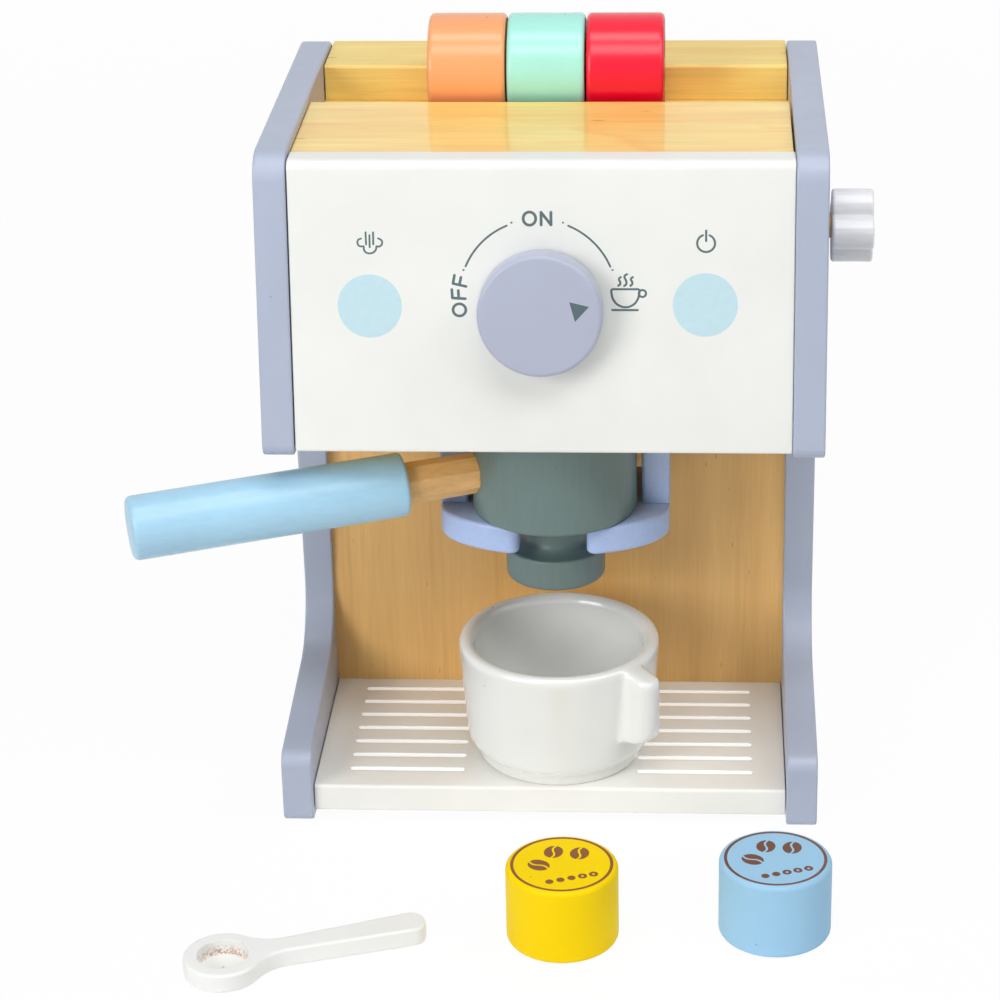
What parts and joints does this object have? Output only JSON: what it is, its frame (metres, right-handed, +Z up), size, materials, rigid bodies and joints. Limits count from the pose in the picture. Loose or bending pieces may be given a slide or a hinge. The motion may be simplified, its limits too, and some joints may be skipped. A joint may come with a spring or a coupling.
{
  "type": "toy coffee maker",
  "caption": "Wooden toy coffee maker with a turning control knob and steam knob, pull-out portafilter, cup on a slotted tray, coffee capsules and a measuring spoon.",
  "frame": {"origin": "middle of the footprint of the whole set, on the floor: machine with its handle, floor capsules and spoon", "axes": "+X to the viewer's right, +Y from the front to the back, +Z up"},
  "size_m": [0.23, 0.2358, 0.2412],
  "materials": {
    "lavender_paint": "satin paint on fibreboard",
    "cream_paint": "satin paint on fibreboard",
    "pine": "clear satin lacquer",
    "plywood": "clear satin lacquer",
    "periwinkle_paint": "satin paint on wood",
    "bare_beech": "bare, sanded",
    "silver_paint": "metallic paint on wood",
    "grey_green_paint": "satin paint on wood",
    "light_blue_paint": "satin paint on wood",
    "gloss_white_paint": "gloss paint on wood",
    "peach_paint": "satin paint on wood",
    "mint_paint": "satin paint on wood",
    "red_paint": "satin paint on wood",
    "yellow_paint": "satin paint on wood",
    "sky_paint": "satin paint on wood",
    "white_paint": "satin paint on plywood"
  },
  "bodies": {
    "machine": {"left_side_panel": "lavender_paint", "right_side_panel": "lavender_paint", "front_panel": "cream_paint", "top_board": "pine", "rear_rail": "pine", "capsule_shelf": "pine", "housing_floor": "pine", "back_wall": "plywood", "rear_cover": "plywood", "base_board": "plywood", "drip_tray": "cream_paint", "holder_left_upright": "periwinkle_paint", "holder_right_upright": "periwinkle_paint", "holder_fork": "periwinkle_paint"},
    "knob_turning": {"control_knob": "lavender_paint", "control_knob_axle": "bare_beech", "control_knob_collar": "bare_beech"},
    "steam_turning": {"steam_knob": "silver_paint", "steam_knob_axle": "bare_beech", "steam_knob_collar": "bare_beech"},
    "portafilter": {"portafilter_block": "grey_green_paint", "portafilter_spout": "grey_green_paint", "portafilter_stem": "bare_beech", "portafilter_grip": "light_blue_paint"},
    "cup": {"coffee_cup": "gloss_white_paint"},
    "stored_peach": {"capsule_peach": "peach_paint"},
    "stored_mint": {"capsule_mint": "mint_paint"},
    "stored_red": {"capsule_red": "red_paint"},
    "loose_yellow": {"capsule_yellow": "yellow_paint"},
    "loose_blue": {"capsule_blue": "sky_paint"},
    "spoon": {"measuring_spoon": "white_paint"}
  },
  "joints": [
    {"name": "control_knob_turn", "type": "hinge", "parent": "machine", "child": "knob_turning", "pos_m": [0.01379, -0.01698, 0.17491], "axis": [0, -0.994, 0.1093], "continuous": true},
    {"name": "steam_knob_turn", "type": "hinge", "parent": "machine", "child": "steam_turning", "pos_m": [0.09879, 0.0449, 0.1797], "axis": [1, 0, 0], "continuous": true},
    {"name": "portafilter_pull", "type": "slide", "parent": "machine", "child": "portafilter", "axis": [0, -1, 0], "range_m": [0, 0.06]},
    {"name": "cup_slide", "type": "slide", "parent": "machine", "child": "cup", "axis": [0, -1, 0], "range_m": [0, 0.04]},
    {"name": "peach_capsule_lift", "type": "slide", "parent": "machine", "child": "stored_peach", "axis": [0, 0, 1], "range_m": [0, 0.04]},
    {"name": "mint_capsule_lift", "type": "slide", "parent": "machine", "child": "stored_mint", "axis": [0, 0, 1], "range_m": [0, 0.04]},
    {"name": "red_capsule_lift", "type": "slide", "parent": "machine", "child": "stored_red", "axis": [0, 0, 1], "range_m": [0, 0.04]},
    {"name": "yellow_capsule_lift", "type": "slide", "parent": "machine", "child": "loose_yellow", "axis": [0, 0, 1], "range_m": [0, 0.04]},
    {"name": "blue_capsule_lift", "type": "slide", "parent": "machine", "child": "loose_blue", "axis": [0, 0, 1], "range_m": [0, 0.04]},
    {"name": "spoon_lift", "type": "slide", "parent": "machine", "child": "spoon", "axis": [0, 0, 1], "range_m": [0, 0.04]}
  ]
}
